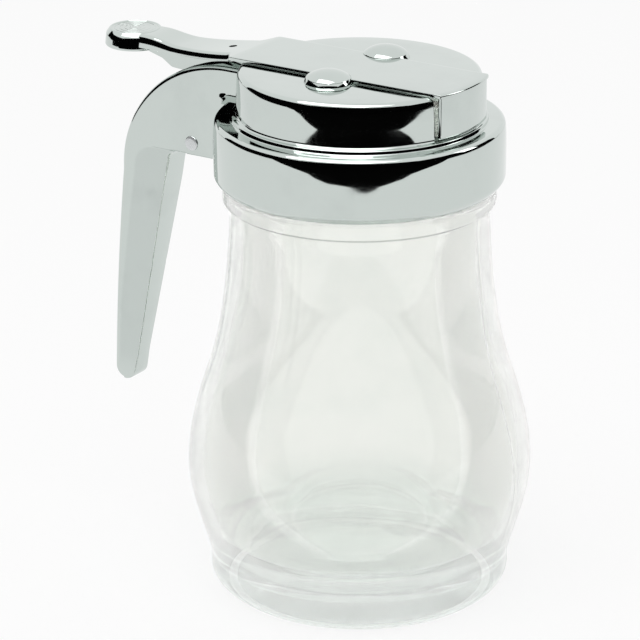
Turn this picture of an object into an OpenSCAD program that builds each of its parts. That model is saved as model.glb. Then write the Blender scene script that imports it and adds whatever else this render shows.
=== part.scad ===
// Syrup dispenser: a blown glass jar with a screw-on metal lid, a handle cast in one with
// the lid, and a sprung thumb slide whose hanging lip shuts the pour mouth.
// The origin is the centre of the jar's foot, +Z is up and the mouth faces +X.

/* [Jar] */
// Largest radius of the bell
bell_r = 39.7; // [38.5:0.1:41]
// Height of the largest radius
bell_z = 30; // [27:0.5:33]
// Radius of the foot
foot_r = 34.6; // [33.5:0.1:35.5]
// Height of the upright side of the foot
foot_h = 8; // [7:0.5:9]
// Thickness of the glass in the bell
glass_t = 3.2; // [2.8:0.1:3.6]
// Thickness of the glass in the base
base_t = 7; // [5.5:0.5:8]

/* [Lid] */
// Radius of the collar
collar_r = 33; // [32:0.1:34]
// Height of the collar's lower edge above the table
collar_z = 97; // [95:0.5:99]
// Height of the collar
collar_h = 15; // [14.5:0.5:16]
// Height of the drum above the collar
drum_h = 11; // [10.5:0.5:12]
// Width of the shoulder between the collar's side and the drum
shoulder_w = 5.3; // [5:0.1:5.6]
// Thickness of the cast wall
cast_t = 2.1; // [1.8:0.1:2.3]

/* [Handle] */
// Thickness of the web behind the lid
web_t = 9; // [8:0.1:9.5]
// Distance from the collar's side to the back of the arch
arch_reach = 30.6; // [30:0.2:32]
// Distance of the arch's top under the drum's top
arch_drop = 4.1; // [3.9:0.1:4.6]
// Distance by which the tip of the grip stands out behind the arch
tip_splay = 4.8; // [3:0.1:5.5]
// Height of the lower end of the grip
tip_z = 36; // [34:0.5:40]
// Thickness of the grip at its tip
tip_t = 5.4; // [5:0.1:7]

/* [Thumb slide] */
// Travel of the slide from shut to open
slide_travel = 7.5; // [6:0.5:7.5]
// Half width of the strip over the drum
strip_half_w = 10.1; // [9.9:0.1:10.2]
// Thickness of the strip over the drum
strip_t = 0.85; // [0.8:0.05:1.1]
// Radius of the thumb pad
pad_r = 7.1; // [6.5:0.1:7.5]
// Thickness of the thumb pad
pad_t = 4.2; // [3.8:0.1:4.6]
// Depth of the dip in the arm
arm_dip = 2.2; // [1.6:0.1:2.4]

/* [Return spring] */
// Thickness of the spring wire
wire_d = 0.7; // [0.65:0.05:0.75]
// Mean radius of the coil
coil_r = 2; // [1.95:0.05:2.1]
// Advance of the coil in one turn
coil_pitch = 1.2; // [1.18:0.01:1.22]

/* [Hidden] */

// A running gap between a moving piece and its guide
run_gap = 0.05;
// Fineness of round solids
fine = 96;
// Length by which a cut runs past the face that it opens
past = 1;

// Glass colour and metal colours
glass_tint = [0.86, 0.93, 0.91, 0.45];
chrome_tint = [0.80, 0.83, 0.82];
steel_tint = [0.66, 0.68, 0.69];
rubber_tint = [0.93, 0.93, 0.90];

// Jar: the neck, the bead and the throat take their sizes from the collar
collar_bore_r = collar_r - 2.8;
neck_r = collar_bore_r - 1.8;
neck_bore_r = neck_r - 3.1;
bead_r = collar_r - 1.95;
bead_low_z = collar_z - 4.1;
bead_high_z = collar_z - 0.4;
bead_round = 0.9;
throat_r = neck_r + 1.1;
throat_z = bead_low_z - 2.9;
rim_z = collar_z + collar_h - 3.5;
rim_round = 1.2;
foot_round = 4;
foot_ring_r = foot_r - 4.1;

// Stations up the bell as [height, radius, slope]
bell_fall = bell_r - throat_r;
bell_rise = throat_z - bell_z;
bell_stations = [
    [foot_h, foot_r, 0.25],
    [bell_z, bell_r, 0],
    [bell_z + 0.367 * bell_rise, throat_r + 0.549 * bell_fall, -0.34],
    [bell_z + 0.633 * bell_rise, throat_r + 0.181 * bell_fall, -0.14],
    [throat_z, throat_r, -0.04],
];
bell_steps = 7;

// Inside of the base: a nearly flat floor and a corner that rises into the wall
floor_r = 12;
floor_bulge = 0.4;
corner_h = 12;
corner_steps = 8;

// Gasket between the jar's rim and the ledge in the lid
gasket_t = 1.5;
gasket_outer_r = collar_bore_r - 0.3;
gasket_inner_r = neck_bore_r + 0.3;

// Lid: outside and inside of the collar and of the drum
collar_foot_r = collar_r - 1.8;
collar_round = 3;
shoulder_round = 1.4;
shoulder_z = collar_z + collar_h;
ledge_z = rim_z + gasket_t;
drum_r = collar_r - shoulder_w;
drum_top_z = shoulder_z + drum_h;
drum_round = 1.5;
drum_bore_r = drum_r - cast_t;
top_t = 1.6;
ceiling_z = drum_top_z - top_t;
ring_r = drum_r + 1.1;
ring_h = 1;
ring_round = 0.5;

// Mouth in the drum, which the hanging lip of the slide fills
lip_half_w = strip_half_w - 0.5;
mouth_half_w = lip_half_w + 0.3;
mouth_floor_z = shoulder_z + ring_h + 0.3;
lip_outer_r = drum_r + 1.6;
lip_t = 1.1;
lip_low_z = mouth_floor_z + 0.3;
lip_side_x = sqrt(pow(lip_outer_r - lip_t, 2) - pow(lip_half_w, 2));
mouth_back_x = lip_side_x - slide_travel - 0.6;

// Strip over the drum
strip_low_z = drum_top_z + run_gap;
strip_top_z = strip_low_z + strip_t;
strip_back_x = drum_r + 0.5;

// Rivets that hold the strip down and guide its edges
rivet_shank_r = 1.6;
rivet_y = strip_half_w + rivet_shank_r + run_gap;
rivet_x = -0.6;
rivet_head_r = 5.5;
rivet_head_h = 1.9;
rivet_tail_r = 2.6;
rivet_tail_h = 0.8;

// Arch of the handle, a quarter of an ellipse about this centre
arch_x = collar_r;
arch_z = collar_z - 7;
arch_back_x = collar_r + arch_reach;
arch_top_z = drum_top_z - arch_drop;
tip_back_x = arch_back_x + tip_splay;
web_low_z = collar_z - 0.6;
grip_top_x = arch_back_x - 13.5;
grip_bow = 0.6;
tip_r = 2.9;
arch_steps = 14;
tip_steps = 8;

// Recess in both sides of the grip
recess_depth = 0.45;
recess_top_z = web_low_z - 0.3;
recess_border_top = 3.3;
recess_border_tip = 1.4;
recess_round = 4.5;
recess_steps = 6;

// Pin of the return spring, near the lower edge of the web
pin_x = collar_r + 10.3;
pin_z = web_low_z + 3.1;
pin_r = 1.45;
pin_head_r = 1.75;
pin_head_h = 0.35;

// Arm between the strip and the pad
pad_x = arch_back_x - 1.5;
pad_top_z = strip_top_z - 0.4;
pad_round = 1.2;
arm_t = 1.4;
arm_swell = 1.5;
arm_half_w = 7;
arm_neck_half_w = 5.1;
arm_front_x = strip_back_x + 3;
arm_dip_x = pin_x + 1.7;
arm_neck_x = pad_x - 9.1;
arm_end_x = pad_x - pad_r + 1;
arm_steps = 8;
arm_hole_x = strip_back_x + 3.8;
arm_hole_r = 0.6;

// Lug under the arm, with the notch that holds the long leg of the spring
lug_front_x = pin_x - 2.1;
lug_back_x = pin_x + 2.9;
lug_half_t = 1.7;
lug_low_z = pin_z + 13.9;
lug_edge = 0.8;
notch_w = wire_d + 0.5;
notch_x = pin_x + 0.4;
notch_h = 5;
notch_top_z = lug_low_z + notch_h;

// Rib under the arm: depth of its lower edge at the front, before the lug and at the neck
rib_low_z = drum_top_z - 1.2;
rib_dip_drop = 2.6;
rib_lug_drop = 4.4;
rib_neck_drop = 3.2;
rib_sink = 0.8;

// Spring: the long leg runs from the notch to the coil, the short leg rests on the slot's floor
pin_at = [-pin_x, pin_z];
long_tip = [-notch_x, notch_top_z - 0.8];
long_reach = norm(long_tip - pin_at);
long_tip_angle = atan2(long_tip[1] - pin_z, long_tip[0] + pin_x);
coil_start = long_tip_angle + acos(coil_r / long_reach);
short_leg = 7;
short_leg_angle = 105;
coil_end = short_leg_angle + 3 * 360;
coil_width = coil_pitch * (coil_end - coil_start) / 360;
short_along = [-sin(coil_end), cos(coil_end)];
short_tip = pin_at + coil_r * [cos(coil_end), sin(coil_end)] + short_leg * short_along;
coil_rings_a_turn = 10;
wire_sides = 6;

// Slot in the web for the spring and the lug
slot_w = coil_width + wire_d + 0.5;
slot_front_x = collar_r + 4.8;
slot_back_x = lug_back_x + slide_travel + 1.7;
slot_floor_z = short_tip[1] - wire_d / 2 - run_gap;
slot_well = 4.4;
slot_foot = 8.4;

// Smooth step from 0 to 1
function ease(t) = t * t * (3 - 2 * t);

// Radius on a smooth curve between two stations, t from 0 to 1
function blend(a, b, t) =
    let (w = b[0] - a[0])
    (2 * t * t * t - 3 * t * t + 1) * a[1]
    + (t * t * t - 2 * t * t + t) * w * a[2]
    + (3 * t * t - 2 * t * t * t) * b[1]
    + (t * t * t - t * t) * w * b[2];

// Points [radius, height] up the outside of the bell, from one height to another
function bell_points(inset, low, high) = [
    for (k = [0 : len(bell_stations) - 2], i = [0 : bell_steps - 1])
        let (a = bell_stations[k], b = bell_stations[k + 1], t = i / bell_steps,
             z = a[0] + t * (b[0] - a[0]))
        if (z > low && z < high) [blend(a, b, t) - inset, z]
];

// Outer radius of the jar between two stations of the bell, at a height
function bell_radius(z, k = 0) =
    let (a = bell_stations[k], b = bell_stations[k + 1])
    z <= a[0] ? a[1]
    : z <= b[0] || k == len(bell_stations) - 2 ? blend(a, b, min(1, (z - a[0]) / (b[0] - a[0])))
    : bell_radius(z, k + 1);

// Points of a round corner about a centre, from one angle to another
function arc(centre, r, from, to, steps) = [
    for (i = [0 : steps])
        let (a = from + (to - from) * i / steps)
        centre + r * [cos(a), sin(a)]
];

// Turns an outline drawn in X and Z into a slab of a given thickness about Y = 0
module slab(outline, thickness) {
    rotate([90, 0, 0])
        translate([0, 0, -thickness / 2])
            linear_extrude(thickness)
                polygon(outline);
}

// Blown jar: foot, bell, throat, bead and neck, hollow and open at the rim
module glass_jar() {
    bead_under = bead_low_z + 0.6;
    outside = concat(
        [[0, 0], [foot_ring_r, 0]],
        arc([foot_r - foot_round, foot_round], foot_round, -62, 0, 5),
        bell_points(0, foot_h - 0.1, throat_z),
        [[throat_r, throat_z], [throat_r, bead_low_z - 0.6]],
        arc([bead_r - bead_round, bead_under], bead_round, -42, 0, 3),
        arc([bead_r - bead_round, bead_high_z - bead_round], bead_round, 0, 90, 4),
        [[neck_r, bead_high_z]],
        arc([neck_r - rim_round, rim_z - rim_round], rim_round, 0, 90, 4)
    );
    inside = concat(
        [[0, base_t + floor_bulge], [floor_r, base_t]],
        [for (i = [1 : corner_steps])
            let (a = 90 * i / corner_steps, z = base_t + corner_h * (1 - cos(a)),
                 wall_r = bell_radius(z) - glass_t)
            [floor_r + (wall_r - floor_r) * sin(a), z]],
        bell_points(glass_t, base_t + corner_h + 1, throat_z - 5),
        [[neck_bore_r, bead_low_z + 1]],
        arc([neck_bore_r + 1, rim_z - 1], 1, 180, 90, 3)
    );
    color(glass_tint)
        rotate_extrude($fn = fine)
            polygon(concat(outside, [for (i = [len(inside) - 1 : -1 : 0]) inside[i]]));
}

// Flat ring that seals the lid on the jar's rim
module jar_gasket() {
    color(rubber_tint)
        translate([0, 0, rim_z])
            difference() {
                cylinder(r = gasket_outer_r, h = gasket_t, $fn = fine);
                translate([0, 0, -past])
                    cylinder(r = gasket_inner_r, h = gasket_t + 2 * past, $fn = fine);
            }
}

// Outside of the collar and the drum as one turned solid
module lid_turned() {
    rotate_extrude($fn = fine)
        polygon(concat(
            [[0, collar_z], [collar_foot_r, collar_z]],
            arc([collar_r - collar_round, collar_z + collar_round], collar_round, -50, 0, 5),
            arc([collar_r - shoulder_round, shoulder_z - shoulder_round], shoulder_round, 0, 90, 4),
            [[ring_r, shoulder_z]],
            arc([ring_r - ring_round, shoulder_z + ring_h - ring_round], ring_round, 0, 90, 3),
            [[drum_r, shoulder_z + ring_h]],
            arc([drum_r - drum_round, drum_top_z - drum_round], drum_round, 0, 90, 5),
            [[0, drum_top_z]]
        ));
}

// Side outline of the web and the grip
function handle_outline() = concat(
    [[-drum_r + 3, arch_top_z]],
    [for (i = [0 : arch_steps])
        let (a = 90 + 90 * i / arch_steps)
        [-arch_x + (arch_back_x - arch_x) * cos(a), arch_z + (arch_top_z - arch_z) * sin(a)]],
    [[-(arch_back_x + tip_back_x) / 2 - grip_bow, (arch_z + tip_z) / 2]],
    arc([tip_r - tip_back_x, tip_z + tip_r], tip_r, 180, 345, tip_steps),
    [[-grip_top_x, web_low_z], [-bead_r - 0.8, web_low_z], [-collar_r + 3, collar_z + 0.6]]
);

// Side outline of the recess, which stops short of the outer edge and runs out at the inner one
function recess_outline() = concat(
    [[-grip_top_x + 6, recess_top_z]],
    arc([-arch_back_x + recess_border_top + recess_round, recess_top_z - recess_round],
        recess_round, 90, 180, recess_steps),
    [[-tip_back_x + recess_border_tip, tip_z + tip_r + 2],
     [-tip_back_x + recess_border_tip + 2, tip_z + 2],
     [-tip_back_x + 12, tip_z - past],
     [-grip_top_x + 6, tip_z - past]]
);

// Wedge, as wide as the web at the top and as the tip at the bottom, less an inset
module handle_taper(inset) {
    rotate([90, 0, 90])
        translate([0, 0, -tip_back_x - past])
            linear_extrude(tip_back_x)
                polygon([
                    [web_t / 2 - inset, arch_top_z + past],
                    [-web_t / 2 + inset, arch_top_z + past],
                    [-web_t / 2 + inset, web_low_z],
                    [-tip_t / 2 + inset, tip_z - past],
                    [tip_t / 2 - inset, tip_z - past],
                    [web_t / 2 - inset, web_low_z],
                ]);
}

// Web and grip, with the recess in both sides
module handle_solid() {
    difference() {
        intersection() {
            slab(handle_outline(), web_t);
            handle_taper(0);
        }
        difference() {
            slab(recess_outline(), web_t + 2 * past);
            handle_taper(recess_depth);
        }
    }
}

// Slot in the web in which the spring sits and its long leg swings
module spring_slot() {
    slab([
        [-slot_front_x, arch_top_z + past],
        [-slot_back_x, arch_top_z + past],
        [-slot_back_x, lug_low_z - past],
        [-pin_x - slot_foot, slot_floor_z],
        [-pin_x - slot_well, slot_floor_z],
        [-pin_x - slot_well, web_low_z - past],
        [-slot_front_x - 0.8, web_low_z - past],
        [-slot_front_x - 0.8, pin_z],
    ], slot_w);
}

// Cast lid: collar, drum with its pour mouth, and handle, all one piece
module lid_body() {
    color(chrome_tint)
        difference() {
            union() {
                lid_turned();
                handle_solid();
            }
            translate([0, 0, collar_z - past])
                cylinder(r = collar_bore_r, h = ledge_z - collar_z + past, $fn = fine);
            translate([0, 0, ledge_z - past])
                cylinder(r = drum_bore_r, h = ceiling_z - ledge_z + past, $fn = fine);
            translate([mouth_back_x, -mouth_half_w, mouth_floor_z])
                cube([collar_r, 2 * mouth_half_w, drum_top_z]);
            for (side = [-1, 1])
                translate([rivet_x, side * rivet_y, ceiling_z - past])
                    cylinder(r = rivet_shank_r + run_gap, h = 4, $fn = 48);
            spring_slot();
            translate([-pin_x, web_t, pin_z])
                rotate([90, 0, 0])
                    cylinder(r = pin_r + run_gap, h = 2 * web_t, $fn = 48);
        }
}

// Domed rivet whose head laps over the strip
module guide_rivet(side) {
    dome_r = (rivet_head_r * rivet_head_r + rivet_head_h * rivet_head_h) / (2 * rivet_head_h);
    dome_angle = asin(rivet_head_r / dome_r);
    head_low_z = strip_top_z + run_gap;
    dome_centre = [0, head_low_z + rivet_head_h - dome_r];
    color(chrome_tint)
        translate([rivet_x, side * rivet_y, 0])
            rotate_extrude($fn = 64)
                polygon(concat(
                    [[0, ceiling_z - rivet_tail_h], [rivet_tail_r - 0.4, ceiling_z - rivet_tail_h],
                     [rivet_tail_r, ceiling_z - 0.3], [rivet_tail_r, ceiling_z],
                     [rivet_shank_r, ceiling_z], [rivet_shank_r, head_low_z],
                     [rivet_head_r, head_low_z]],
                    [for (i = [1 : 7])
                        let (a = dome_angle * (1 - i / 8))
                        dome_centre + dome_r * [sin(a), cos(a)]],
                    [[0, head_low_z + rivet_head_h]]
                ));
}

module guide_rivet_near() {
    guide_rivet(-1);
}

module guide_rivet_far() {
    guide_rivet(1);
}

// Pin across the web that carries the spring
module spring_pin() {
    color(steel_tint)
        translate([-pin_x, 0, pin_z])
            rotate([90, 0, 0])
                translate([0, 0, -web_t / 2])
                    rotate_extrude($fn = 48)
                        polygon([
                            [0, 0], [pin_r, 0], [pin_r, web_t], [pin_head_r, web_t],
                            [pin_head_r - 0.25, web_t + pin_head_h * 0.8],
                            [0, web_t + pin_head_h],
                        ]);
}

// Middle line of the spring wire, with the wanted points in one turn of the coil and in one leg
function spring_line(rings_a_turn, leg_steps) =
    let (turn = coil_end - coil_start, n = ceil(turn / 360 * rings_a_turn),
         y0 = -coil_width / 2, y1 = coil_width / 2,
         first = pin_at + coil_r * [cos(coil_start), sin(coil_start)])
    concat(
        [for (i = [0 : leg_steps - 1])
            let (m = long_tip + (first - long_tip) * 0.85 * i / (leg_steps - 1))
            [m[0], y0, m[1]]],
        [for (i = [0 : n])
            let (a = coil_start + turn * i / n, p = pin_at + coil_r * [cos(a), sin(a)])
            [p[0], y0 + coil_width * i / n, p[1]]],
        [for (i = [leg_steps - 1 : -1 : 0])
            let (m = short_tip - 0.85 * short_leg * short_along * i / (leg_steps - 1))
            [m[0], y1, m[1]]]
    );

// Least gap of the wire to itself, over all pairs of points more than half a turn apart
function spring_gap(line, half_turn) =
    min([for (i = [0 : len(line) - 1 - half_turn])
        min([for (j = [i + half_turn : len(line) - 1]) norm(line[i] - line[j])])]) - wire_d;

echo(least_gap_of_spring_to_itself_mm = spring_gap(spring_line(36, 12), 18));

function unit(v) = v / norm(v);

// Torsion spring: one unbroken wire with a long leg, a coil round the pin and a short leg
module return_spring() {
    line = spring_line(coil_rings_a_turn, 2);
    last = len(line) - 1;
    rings = [for (i = [0 : last])
        let (ahead = unit(line[min(i + 1, last)] - line[max(i - 1, 0)]),
             side = unit(cross(ahead, [0, 1, 0])),
             up = cross(side, ahead))
        for (k = [0 : wire_sides - 1])
            let (a = 360 * k / wire_sides)
            line[i] + wire_d / 2 * (cos(a) * side + sin(a) * up)];
    sides = [for (i = [0 : last - 1], k = [0 : wire_sides - 1])
        let (a = i * wire_sides + k, b = i * wire_sides + (k + 1) % wire_sides)
        each [[a, b, a + wire_sides], [b, b + wire_sides, a + wire_sides]]];
    low_end = [[for (k = [wire_sides - 1 : -1 : 0]) k]];
    high_end = [[for (k = [0 : wire_sides - 1]) last * wire_sides + k]];
    color(steel_tint)
        polyhedron(points = rings, faces = concat(low_end, sides, high_end), convexity = 6);
}

// Height of the arm's top at a distance behind the jar's axis
function arm_top(x) =
    x < strip_back_x ? strip_top_z
    : x < arm_dip_x ? strip_top_z - arm_dip * ease((x - strip_back_x) / (arm_dip_x - strip_back_x))
    : x < arm_end_x ? strip_top_z - arm_dip
        + (pad_top_z - strip_top_z + arm_dip) * ease((x - arm_dip_x) / (arm_end_x - arm_dip_x))
    : pad_top_z;

// Height of the arm's underside, which swells towards the pad
function arm_low(x) =
    arm_top(x) - arm_t
    - arm_swell * ease(min(1, max(0, (x - arm_dip_x) / (arm_end_x - arm_dip_x))));

// Half width of the arm at a distance behind the jar's axis
function arm_half(x) =
    x < arm_front_x ? strip_half_w
        - (strip_half_w - arm_half_w) * ease(max(0, x - strip_back_x) / (arm_front_x - strip_back_x))
    : x < arm_neck_x ? arm_half_w
        - (arm_half_w - arm_neck_half_w) * ease((x - arm_front_x) / (arm_neck_x - arm_front_x))
    : arm_neck_half_w;

// Distances behind the axis at which the arm's outlines have points
arm_stations = concat(
    [for (i = [0 : 4]) strip_back_x + (arm_front_x - strip_back_x) * i / 4],
    [for (i = [1 : arm_steps]) arm_front_x + (arm_dip_x - arm_front_x) * i / arm_steps],
    [for (i = [1 : arm_steps]) arm_dip_x + (arm_end_x - arm_dip_x) * i / arm_steps],
    [pad_x]
);

// Flat flange of the arm: its side view cut by its plan view
module arm_flange() {
    back = len(arm_stations) - 1;
    intersection() {
        slab(concat(
            [for (x = arm_stations) [-x, arm_top(x)]],
            [for (i = [back : -1 : 0]) [-arm_stations[i], arm_low(arm_stations[i])]]
        ), 4 * strip_half_w);
        translate([0, 0, strip_top_z - 10])
            linear_extrude(12)
                polygon(concat(
                    [for (x = arm_stations) [-x, -arm_half(x)]],
                    [for (i = [back : -1 : 0]) [-arm_stations[i], arm_half(arm_stations[i])]]
                ));
    }
}

// Rib under the arm that swells into the lug
module arm_rib() {
    slab([
        [-strip_back_x - rib_sink, arm_top(strip_back_x) - rib_sink],
        [-strip_back_x - rib_sink, rib_low_z],
        [-arm_dip_x + 6, rib_low_z - rib_dip_drop],
        [-lug_front_x, rib_low_z - rib_lug_drop],
        [-lug_front_x, lug_low_z + lug_edge],
        [-lug_front_x - lug_edge, lug_low_z],
        [-lug_back_x + lug_edge, lug_low_z],
        [-lug_back_x, lug_low_z + lug_edge],
        [-lug_back_x - 2 * lug_edge, rib_low_z - rib_lug_drop],
        [-arm_neck_x, rib_low_z - rib_neck_drop],
        [-arm_end_x - 1, pad_top_z - pad_t + rib_sink / 2],
        [-arm_end_x - 1, arm_top(arm_end_x) - rib_sink],
        [-arm_neck_x, arm_top(arm_neck_x) - rib_sink],
        [-arm_dip_x, arm_top(arm_dip_x) - rib_sink],
        [-arm_dip_x + 8, arm_top(arm_dip_x - 8) - rib_sink],
    ], 2 * lug_half_t);
}

// Round pad for the thumb, with rounded edges
module thumb_pad() {
    low = pad_top_z - pad_t;
    translate([-pad_x, 0, 0])
        rotate_extrude($fn = 64)
            polygon(concat(
                [[0, low]],
                arc([pad_r - pad_round, low + pad_round], pad_round, -90, 0, 4),
                arc([pad_r - pad_round, pad_top_z - pad_round], pad_round, 0, 90, 4),
                [[0, pad_top_z]]
            ));
}

// Thin strip over the drum with the lip that hangs from its front end
module strip_and_lip() {
    intersection() {
        translate([0, 0, strip_low_z])
            cylinder(r = lip_outer_r, h = strip_t, $fn = fine);
        translate([-strip_back_x, -strip_half_w, strip_low_z - past])
            cube([strip_back_x + collar_r, 2 * strip_half_w, strip_t + 2 * past]);
    }
    translate([-strip_back_x - 0.2, -strip_half_w + 0.4, strip_low_z])
        cube([strip_back_x, 2 * strip_half_w - 0.8, strip_t]);
    intersection() {
        difference() {
            translate([0, 0, lip_low_z])
                cylinder(r = lip_outer_r, h = strip_top_z - lip_low_z, $fn = fine);
            translate([0, 0, lip_low_z - past])
                cylinder(r = lip_outer_r - lip_t, h = strip_top_z - lip_low_z + 2 * past, $fn = fine);
        }
        translate([0, -lip_half_w, lip_low_z - past])
            cube([collar_r, 2 * lip_half_w, strip_top_z]);
    }
}

// Thumb slide: strip, lip, arm, lug and pad, all one casting
module thumb_slide() {
    color(chrome_tint)
        difference() {
            union() {
                strip_and_lip();
                arm_flange();
                arm_rib();
                thumb_pad();
            }
            translate([-notch_x - notch_w / 2, -lug_half_t - past, lug_low_z - past])
                cube([notch_w, 2 * (lug_half_t + past), notch_top_z - lug_low_z + past]);
            translate([-arm_hole_x, 0, strip_top_z - 3])
                cylinder(r = arm_hole_r, h = 6, $fn = 24);
        }
}

glass_jar();
jar_gasket();
lid_body();
guide_rivet_near();
guide_rivet_far();
spring_pin();
return_spring();
thumb_slide();
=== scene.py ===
"""A glass syrup dispenser with a chromed screw lid, a cast handle and a sprung thumb slide.

Sizes are in millimetres and are turned into metres where a mesh is made.
"""

import math

import bmesh
import bpy
from mathutils import Matrix, Vector, noise


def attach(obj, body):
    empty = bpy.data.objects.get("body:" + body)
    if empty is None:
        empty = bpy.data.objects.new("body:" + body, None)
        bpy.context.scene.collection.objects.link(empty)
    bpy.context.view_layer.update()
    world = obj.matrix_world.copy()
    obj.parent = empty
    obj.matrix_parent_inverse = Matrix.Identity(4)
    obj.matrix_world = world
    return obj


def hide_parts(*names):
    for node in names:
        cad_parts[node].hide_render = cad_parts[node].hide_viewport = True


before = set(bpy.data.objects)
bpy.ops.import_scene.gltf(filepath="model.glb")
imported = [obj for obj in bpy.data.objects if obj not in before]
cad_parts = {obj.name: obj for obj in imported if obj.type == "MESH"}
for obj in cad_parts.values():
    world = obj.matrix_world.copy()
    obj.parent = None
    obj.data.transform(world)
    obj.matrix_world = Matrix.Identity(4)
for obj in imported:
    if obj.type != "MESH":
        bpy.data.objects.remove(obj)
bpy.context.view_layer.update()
world_scene = bpy.context.scene
world_scene.view_settings.view_transform = "Standard"


# Camera: a long lens from the front right of the mouth, a little above the lid.
# The handle points to the left and away.

camera_data = bpy.data.cameras.new("camera")
camera_data.lens = 196.2
camera_data.sensor_width = 36
camera_data.shift_x = -0.0619
camera_data.shift_y = 0.0216
camera_data.clip_end = 20
camera = bpy.data.objects.new("camera", camera_data)
world_scene.collection.objects.link(camera)
azimuth, elevation = math.radians(33), math.radians(20.62)
towards_camera = Vector((
    math.sin(azimuth) * math.cos(elevation),
    -math.cos(azimuth) * math.cos(elevation),
    math.sin(elevation),
))
camera.location = Vector((0, 0, 0.060)) + 0.8 * towards_camera
camera.rotation_euler = towards_camera.to_track_quat("Z", "Y").to_euler()
world_scene.camera = camera


# Table and studio light: a white sheet under a wide soft box, in a room that is dark before the table.
# The sheet's front end and the dark room show in the chrome, as they do in the photograph.

def beside(right, away, height=0.0):
    """A point of the table by its place to the right and behind the dispenser, as the camera sees it."""
    return Vector((
        right * math.cos(azimuth) - away * math.sin(azimuth),
        right * math.sin(azimuth) + away * math.cos(azimuth),
        height,
    ))


def soft_box(name, place, width, height, radiance):
    """A rectangular lamp that faces the lid."""
    lamp = bpy.data.lights.new(name, "AREA")
    lamp.shape = "RECTANGLE"
    lamp.size, lamp.size_y = width, height
    lamp.energy = radiance * math.pi * width * height
    holder = bpy.data.objects.new(name, lamp)
    holder.location = place
    holder.rotation_euler = (place - Vector((0, 0, 0.09))).to_track_quat("Z", "Y").to_euler()
    world_scene.collection.objects.link(holder)


soft_box("top_box", beside(-0.20, -0.30, 1.10), 1.1, 0.75, 2.3)
soft_box("side_box", beside(1.15, 0.10, 0.62), 0.35, 0.55, 2.2)


def stage_sheet(name, corners):
    """One flat four-sided sheet of the stage."""
    mesh = bpy.data.meshes.new(name)
    mesh.from_pydata(corners, [], [(0, 1, 2, 3)])
    sheet = bpy.data.objects.new(name, mesh)
    world_scene.collection.objects.link(sheet)
    return sheet


class Signal:
    """An output of a node, on which sums can be written."""

    def __init__(self, tree, socket):
        self.tree, self.socket = tree, socket

    def sum(self, operation, first, second):
        node = self.tree.nodes.new("ShaderNodeMath")
        node.operation = operation
        for place, value in enumerate((first, second)):
            if isinstance(value, Signal):
                self.tree.links.new(value.socket, node.inputs[place])
            else:
                node.inputs[place].default_value = value
        return Signal(self.tree, node.outputs[0])

    def __add__(self, other):
        return self.sum("ADD", self, other)

    def __sub__(self, other):
        return self.sum("SUBTRACT", self, other)

    def __rsub__(self, other):
        return self.sum("SUBTRACT", other, self)

    def __mul__(self, other):
        return self.sum("MULTIPLY", self, other)

    def __pow__(self, other):
        return self.sum("POWER", self, other)

    def least(self, other):
        return self.sum("MINIMUM", self, other)

    def most(self, other):
        return self.sum("MAXIMUM", self, other)

    __radd__ = __add__
    __rmul__ = __mul__


class Nodes:
    """Makes the nodes of one tree."""

    def __init__(self, tree):
        self.tree = tree

    def node(self, kind, settings=None, inputs=None, out=0):
        made = self.tree.nodes.new(kind)
        for key, value in (settings or {}).items():
            if key == "stops":
                stops = made.color_ramp.elements
                while len(stops) < len(value):
                    stops.new(0.5)
                for stop, (place, colour) in zip(stops, value):
                    stop.position, stop.color = place, colour
            else:
                setattr(made, key, value)
        for key, value in (inputs or {}).items():
            if isinstance(value, Signal):
                self.tree.links.new(value.socket, made.inputs[key])
            else:
                made.inputs[key].default_value = value
        return Signal(self.tree, made.outputs[out])

    def mix(self, factor, first, second):
        """A colour between two colours."""
        return self.node(
            "ShaderNodeMix", {"data_type": "RGBA"}, {0: factor, 6: first, 7: second}, 2
        )


class Finish(Nodes):
    """A material on one Principled shader."""

    def __init__(self, name, **constants):
        self.material = bpy.data.materials.new(name)
        self.material.use_nodes = True
        super().__init__(self.material.node_tree)
        self.shader = self.tree.nodes["Principled BSDF"]
        for key, value in constants.items():
            self.shader.inputs[key.replace("_", " ")].default_value = value
        self.place = self.node("ShaderNodeTexCoord", out=3)

    def noise(self, scale, detail=2.0, rough=0.5, place=None):
        """Noise from 0 to 1 on the piece's own coordinates, scale per metre."""
        return self.node(
            "ShaderNodeTexNoise",
            inputs={"Vector": place or self.place, "Scale": scale, "Detail": detail, "Roughness": rough},
        )

    def bump(self, height, depth, below=None):
        """Turns a height from 0 to 1 into a normal, depth in millimetres."""
        inputs = {"Height": height, "Strength": 1.0, "Distance": depth / 1000}
        if below:
            inputs["Normal"] = below
        return self.node("ShaderNodeBump", inputs=inputs)

    def feed(self, **signals):
        for key, signal in signals.items():
            self.tree.links.new(signal.socket, self.shader.inputs[key.replace("_", " ")])
        return self.material


def shows_white(nodes):
    """1 for rays from the camera, off metal and through glass, which see the plain white."""
    camera_ray, glossy_ray, through_ray = (
        nodes.node("ShaderNodeLightPath", out=place) for place in (0, 3, 6)
    )
    return (camera_ray + glossy_ray + through_ray).least(1.0)


def glow_over(finish, factor):
    """Mixes plain white light over a finish."""
    glow = finish.node("ShaderNodeEmission", inputs={"Color": (1, 1, 1, 1), "Strength": 1.0})
    lit = Signal(finish.tree, finish.shader.outputs[0])
    mixed = finish.node("ShaderNodeMixShader", inputs={0: factor, 1: lit, 2: glow})
    finish.tree.links.new(mixed.socket, finish.tree.nodes["Material Output"].inputs[0])


table_sheet = stage_sheet("table_sheet", [beside(-3, -3), beside(3, -3), beside(3, 3), beside(-3, 3)])
sheet_finish = Finish("white_sheet", Base_Color=(0.9, 0.9, 0.9, 1), Roughness=0.9, Specular_IOR_Level=0.0)
glow_over(sheet_finish, shows_white(sheet_finish) * 0.85)
table_sheet.data.materials.append(sheet_finish.material)

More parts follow.
